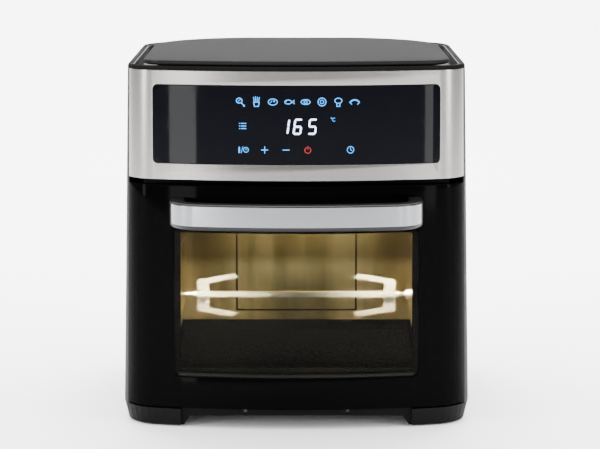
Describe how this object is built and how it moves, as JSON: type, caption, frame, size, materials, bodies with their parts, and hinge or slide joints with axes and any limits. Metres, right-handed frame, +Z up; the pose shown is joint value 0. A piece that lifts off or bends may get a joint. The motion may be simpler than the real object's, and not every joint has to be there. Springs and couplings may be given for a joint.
{
  "type": "air fryer oven",
  "caption": "Countertop air fryer oven with a windowed drop-down door, bowed handle, steel control band, touch panel and a rotisserie spit inside.",
  "frame": {"origin": "on the table under the middle of the outside box, handle and rear spacers included", "axes": "+X to the right as seen from the front, -Y towards the door, +Z up"},
  "size_m": [0.342, 0.379, 0.3595],
  "materials": {
    "base_plastic": "fine-textured black",
    "rubber": "matt black",
    "zinc_screw": "zinc plated",
    "side_paint": "satin grey",
    "rear_steel": "matt black",
    "rim_plastic": "satin grey",
    "top_plastic": "fine-textured grey",
    "band_steel": "brushed lengthways",
    "inner_plastic": "moulded",
    "panel_glass": "polished black, back printed",
    "light_guide": "white",
    "circuit_board": "green solder mask",
    "door_black": "gloss black",
    "outer_glass": "tinted toughened glass with a black printed edge",
    "inner_glass": "clear toughened glass",
    "liner_steel": "stainless",
    "silicone": "silicone",
    "handle_black": "satin black",
    "handle_metal": "brushed",
    "plated_steel": "plated",
    "magnet": "ferrite",
    "tray_black": "non-stick",
    "sheath": "heat-tinted steel tube",
    "ceramic": "unglazed ceramic",
    "fan_metal": "pressed",
    "motor_copper": "laminated stator and windings",
    "white_plastic": "white nylon",
    "zinc_sheet": "galvanised",
    "spit_steel": "polished stainless",
    "bulb_glass": "clear"
  },
  "bodies": {
    "housing": {"base_pan": "base_plastic", "rubber_feet": "rubber", "base_screws": "zinc_screw", "left_side_panel": "side_paint", "right_side_panel": "side_paint", "rear_cover": "rear_steel", "rear_spacers": "rubber", "rear_screws": "zinc_screw", "top_rim": "rim_plastic", "top_plate": "top_plastic", "control_band": "band_steel", "fascia_frame": "inner_plastic", "touch_panel": "panel_glass", "light_guide": "light_guide", "display_board": "circuit_board", "board_screws": "zinc_screw", "hinge_brackets": "zinc_sheet", "catch_magnet": "magnet", "cavity_liner": "liner_steel", "drip_tray": "tray_black", "fan_guard": "plated_steel", "heater_housing": "liner_steel", "heating_element": "sheath", "element_bushings": "ceramic", "fan_motor": "motor_copper", "motor_bracket": "zinc_sheet", "heat_shield": "zinc_sheet", "exhaust_duct": "zinc_sheet", "power_board": "circuit_board", "terminal_block": "white_plastic", "cord_gland": "rubber", "spit_motor": "zinc_sheet", "spit_support": "liner_steel", "lamp_socket": "ceramic", "lamp_bulb": "bulb_glass", "lamp_cover": "inner_glass", "thermal_cutout": "inner_plastic", "temperature_probe": "plated_steel", "door_switch": "inner_plastic"},
    "door": {"door_frame": "door_black", "door_outer_glass": "outer_glass", "door_inner_glass": "inner_glass", "door_inner_panel": "rear_steel", "door_gasket": "silicone", "door_screws": "zinc_screw", "door_striker": "plated_steel", "hinge_pins": "plated_steel", "handle_body": "handle_black", "handle_plate": "handle_metal", "handle_screws": "zinc_screw"},
    "fan": {"fan_shaft": "plated_steel", "hot_air_fan": "fan_metal", "cooling_fan": "white_plastic"},
    "spit": {"spit_shaft": "spit_steel", "spit_socket": "spit_steel"},
    "left_fork": {"left_fork": "spit_steel"},
    "right_fork": {"right_fork": "spit_steel"},
    "left_thumb_screw": {"left_thumb_screw": "spit_steel"},
    "right_thumb_screw": {"right_thumb_screw": "spit_steel"},
    "switch_plunger": {"switch_plunger": "white_plastic"}
  },
  "joints": [
    {"name": "door_hinge", "type": "hinge", "parent": "housing", "child": "door", "pos_m": [0, -0.133, 0.025], "axis": [1, 0, 0], "range_deg": [0, 76], "stiffness_Nm_per_rad": 0.5, "springref_deg": -20.05},
    {"name": "fan_spin", "type": "hinge", "parent": "housing", "child": "fan", "pos_m": [0, 0.0125, 0.2945], "axis": [0, 0, 1], "continuous": true},
    {"name": "spit_spin", "type": "hinge", "parent": "housing", "child": "spit", "pos_m": [0, 0.00778, 0.1045], "axis": [1, 0, 0], "continuous": true},
    {"name": "left_fork_slide", "type": "slide", "parent": "spit", "child": "left_fork", "axis": [1, 0, 0], "range_m": [0, 0.055]},
    {"name": "right_fork_slide", "type": "slide", "parent": "spit", "child": "right_fork", "axis": [-1, 0, 0], "range_m": [0, 0.055]},
    {"name": "left_thumb_screw_turn", "type": "hinge", "parent": "left_fork", "child": "left_thumb_screw", "pos_m": [-0.096, 0.00778, 0.1045], "axis": [0, -1, 0], "range_deg": [-540, 0]},
    {"name": "right_thumb_screw_turn", "type": "hinge", "parent": "right_fork", "child": "right_thumb_screw", "pos_m": [0.096, 0.00778, 0.1045], "axis": [0, -1, 0], "range_deg": [-540, 0]},
    {"name": "switch_plunger_travel", "type": "slide", "parent": "housing", "child": "switch_plunger", "axis": [0, -1, 0], "range_m": [0, 0.0025]}
  ],
  "couplings": [
    {"joint": "switch_plunger_travel", "follows": "door_hinge", "m_per_rad": 0.00185}
  ]
}
